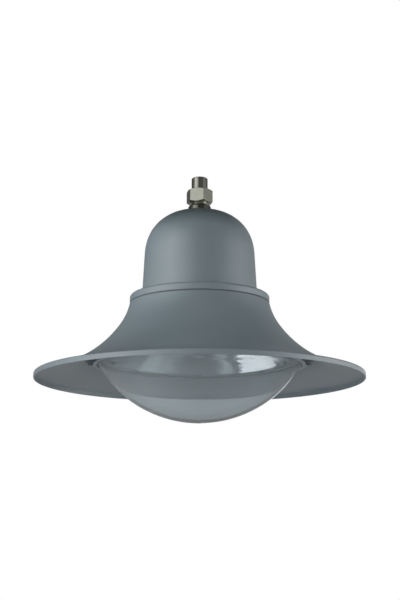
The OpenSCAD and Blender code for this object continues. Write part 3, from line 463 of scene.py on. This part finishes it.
def card(name, azimuths, elevations, level, radius=CARD_RADIUS, through=False, tint=PLAIN):
    """A curved card or cloth that shows only in gloss. Bright ones give paint and metal their soft
    highlights, and dark ones their dark bands. A card that is seen through the bowl shows only in
    what the reflector mirrors, when light has passed the bowl's wall in and out, and not in the
    wall's own gloss."""
    s = Shader(name)
    if through:
        faces_passed = s.node("ShaderNodeLightPath").outputs["Transmission Depth"]
        level = s.math("MULTIPLY", s.math("GREATER_THAN", faces_passed, FACES_PASSED), level)
    shine = s.node("ShaderNodeEmission", {"Color": (*tint, 1.0), "Strength": level})
    s.tree.nodes.remove(s.bsdf)
    s.surface(shine.outputs[0])
    across = max(1, math.ceil((azimuths[1] - azimuths[0]) / CARD_STEP))
    up = max(1, math.ceil((elevations[1] - elevations[0]) / CARD_STEP))
    verts, faces = [], []
    for i in range(across + 1):
        azimuth = azimuths[0] + (azimuths[1] - azimuths[0]) * i / across
        for k in range(up + 1):
            elevation = elevations[0] + (elevations[1] - elevations[0]) * k / up
            verts.append(at(azimuth, elevation, radius)[:])
    for i in range(across):
        for k in range(up):
            a = i * (up + 1) + k
            faces.append((a, a + up + 1, a + up + 2, a + 1))
    piece = stage_mesh(name, verts, faces, s.material)
    piece.visible_camera = False
    piece.visible_diffuse = False
    piece.visible_glossy = not through
    piece.visible_transmission = through
    piece.visible_shadow = False


def soft_box(name, azimuth, elevation, size, level):
    """A rectangular studio lamp that faces the object. Its level is its brightness, where 1 is
    white. It doesn't show in gloss, where the cards stand for it."""
    data = bpy.data.lights.new(name, "AREA")
    data.shape = "RECTANGLE"
    data.size, data.size_y = size
    data.energy = math.pi * size[0] * size[1] * level
    lamp = bpy.data.objects.new(name, data)
    lamp.location = at(azimuth, elevation, LAMP_DISTANCE)
    lamp.rotation_euler = (CENTRE - lamp.location).to_track_quat("-Z", "Y").to_euler()
    bpy.context.collection.objects.link(lamp)
    lamp.visible_glossy = False


# Name, azimuths and elevations in degrees, and level.
for name, azimuths, elevations, level in (
    ("card_far_left", (-97.0, -72.0), (-16.0, CEILING), 0.4),
    ("card_left", (-72.0, -46.0), (-16.0, CEILING), 1.38),
    ("card_near_left", (-46.0, -21.0), (-16.0, CEILING), 0.9),
    ("card_front", (-21.0, 50.0), (-4.0, CEILING), 0.14),
    ("card_right", (50.0, 98.0), (7.0, CEILING), 0.345),
    ("card_low_right", (66.0, 116.0), (-34.0, 7.0), 2.2),
    ("card_back_right", (98.0, 180.0), (7.0, CEILING), 0.2),
    ("card_back_left", (-180.0, -97.0), (-4.0, CEILING), 0.13),
    ("card_low_back", (116.0, 263.0), (-42.0, -4.0), 0.25),
):
    card(name, azimuths, elevations, level)
card("card_below", (-180.0, 180.0), (-90.0, -42.0), 0.5, radius=LOW_RADIUS)
card("card_ceiling", (-180.0, 180.0), (CEILING, 90.0), 0.005)

# What the reflector mirrors, seen through the bowl: the bright warm ones make the white patch.
for azimuths, elevations, level, tint in (
    ((-155.0, -134.0), (-30.0, -6.0), 4.8, WARM),
    ((-134.0, -118.0), (-39.0, -14.0), 5.3, WARM),
    ((-118.0, -100.0), (-47.0, -20.0), 5.5, WARM),
    ((-100.0, -84.0), (-48.0, -30.0), 5.5, WARM),
    ((-84.0, -67.0), (-60.0, -38.0), 0.6, PLAIN),
    ((-67.0, -48.0), (-64.0, -38.0), 1.6, PLAIN),
    ((-48.0, -36.0), (-64.0, -38.0), 0.8, PLAIN),
    ((-36.0, 45.0), (-68.0, -44.0), 0.35, PLAIN),
    ((45.0, 62.0), (-64.0, -38.0), 0.7, PLAIN),
    ((62.0, 85.0), (-64.0, -38.0), 1.1, PLAIN),
    ((85.0, 114.0), (-54.0, -22.0), 1.6, PLAIN),
    ((114.0, 150.0), (-34.0, -8.0), 0.7, PLAIN),
    ((150.0, 208.0), (-22.0, -3.0), 0.5, PLAIN),
):
    card("mirrored_card", azimuths, elevations, level, LOW_RADIUS, through=True, tint=tint)

soft_box("key", -88.0, 4.0, (2.6, 2.2), 4.0)
soft_box("near", -40.0, 4.0, (2.2, 2.0), 3.0)
soft_box("fill", 82.0, 4.0, (2.4, 2.0), 3.3)
soft_box("top", 0.0, 80.0, (2.4, 2.4), 1.0)


# ---------------------------------------------------------------- camera
# It looks up at the lamp from a little below, and its aim is a touch beside the lamp's axis.
ELEVATION = math.radians(12.2)
DISTANCE = 1.847
AIM = Vector((0.0006, 0.0, -0.183))
SENSOR_HEIGHT = 36.0
FOCAL_LENGTH = 69.0

lens = bpy.data.cameras.new("camera")
lens.sensor_fit = "VERTICAL"
lens.sensor_height = SENSOR_HEIGHT
lens.lens = FOCAL_LENGTH
camera = bpy.data.objects.new("camera", lens)
camera.location = AIM + DISTANCE * Vector((0.0, -math.cos(ELEVATION), -math.sin(ELEVATION)))
camera.rotation_euler = (AIM - camera.location).to_track_quat("-Z", "Y").to_euler()
bpy.context.collection.objects.link(camera)
bpy.context.scene.camera = camera
bpy.context.scene.view_settings.view_transform = "Standard"
